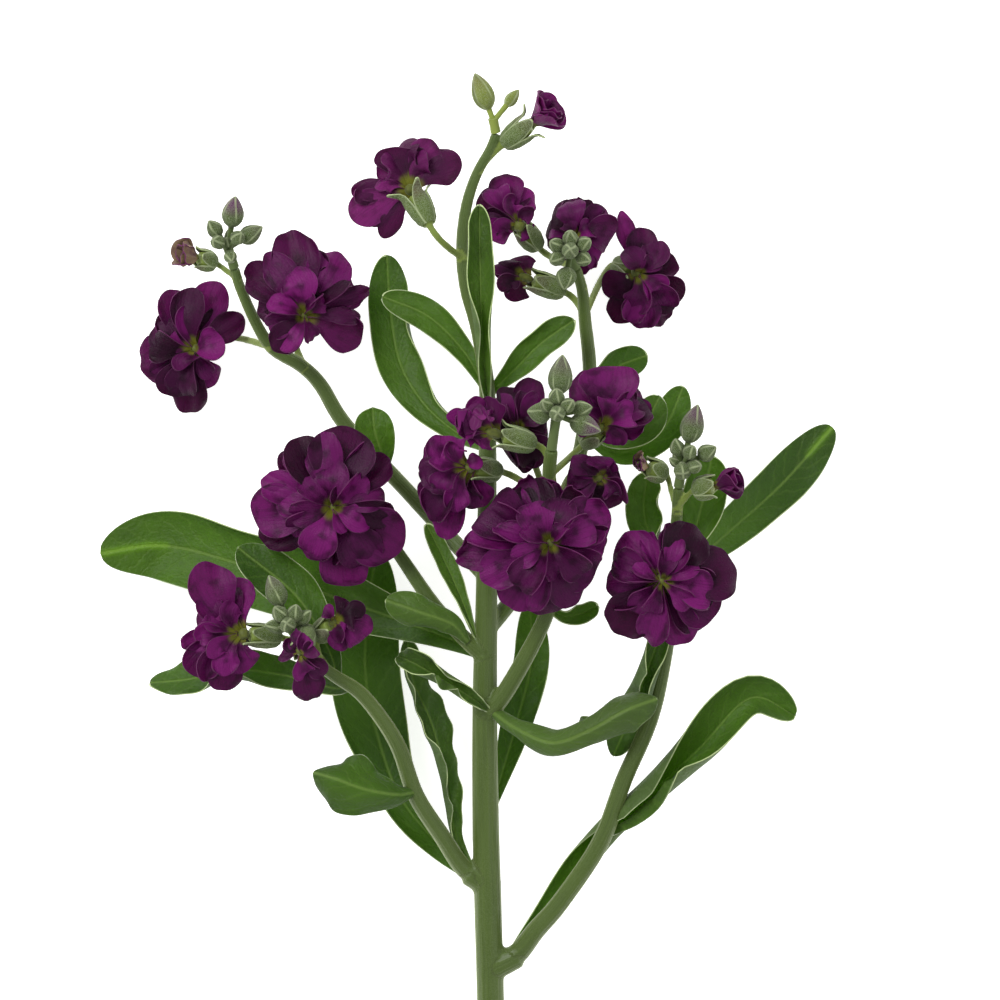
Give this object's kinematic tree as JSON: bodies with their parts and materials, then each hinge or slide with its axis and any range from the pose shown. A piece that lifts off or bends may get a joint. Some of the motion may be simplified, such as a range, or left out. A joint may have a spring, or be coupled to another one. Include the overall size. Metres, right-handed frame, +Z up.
{
  "type": "stock flower stem",
  "caption": "Cut branching stem of double purple stock with wavy grey-green leaves, open blooms and bud clusters, lying on a surface.",
  "frame": {"origin": "centre of the lying stem's outline, at the surface it lies on", "axes": "+Y up the stem from its cut end to its top bud, +X to the right as seen from above, +Z up from the surface"},
  "size_m": [0.1876, 0.3438, 0.0675],
  "materials": {
    "stem": "satin, pale green with a grey bloom",
    "leaf": "matte, felted, pale edge",
    "petal": "velvety deep purple",
    "bud": "matte, felted grey-green"
  },
  "bodies": {
    "root": {"stem": "stem", "leaf_low_left_long": "leaf", "leaf_low_left_dark": "leaf", "leaf_low_left_forked": "leaf", "leaf_low_left_broad": "leaf", "leaf_low_left_narrow": "leaf", "leaf_low_left_cup": "leaf", "leaf_mid_left_small": "leaf", "leaf_mid_left_narrow": "leaf", "leaf_stem_left_curled": "leaf", "leaf_stem_right_twisted": "leaf", "leaf_stem_back": "leaf", "leaf_low_right_hanging": "leaf", "leaf_low_right_long": "leaf", "leaf_right_far": "leaf", "leaf_right_behind_1": "leaf", "leaf_right_behind_2": "leaf", "leaf_right_bud_1": "leaf", "leaf_right_bud_2": "leaf", "leaf_mid_right_small": "leaf", "leaf_top_left_long": "leaf", "leaf_top_left_short": "leaf", "leaf_top_left_round": "leaf", "leaf_top_upright": "leaf", "leaf_top_right_short": "leaf", "leaf_top_right_dark": "leaf", "bloom_low_left_1": "petal", "bloom_low_left_2": "petal", "bloom_low_left_3": "petal", "bloom_low_right_1": "petal", "bloom_low_right_2": "petal", "bloom_low_right_3": "petal", "bloom_mid_left_1": "petal", "bloom_mid_right_1": "petal", "bloom_mid_right_2": "petal", "bloom_mid_right_3": "petal", "bloom_mid_right_4": "petal", "bloom_mid_right_5": "petal", "bloom_mid_right_6": "petal", "bloom_top_1": "petal", "bloom_top_2": "petal", "bloom_top_left_1": "petal", "bloom_top_left_2": "petal", "bloom_top_left_3": "petal", "bloom_top_right_1": "petal", "bloom_top_right_2": "petal", "bloom_top_right_3": "petal", "bloom_top_right_4": "petal", "buds_low_left": "bud", "buds_low_right": "bud", "buds_mid_right": "bud", "buds_top": "bud", "buds_top_left": "bud", "buds_top_right": "bud"}
  },
  "joints": []
}
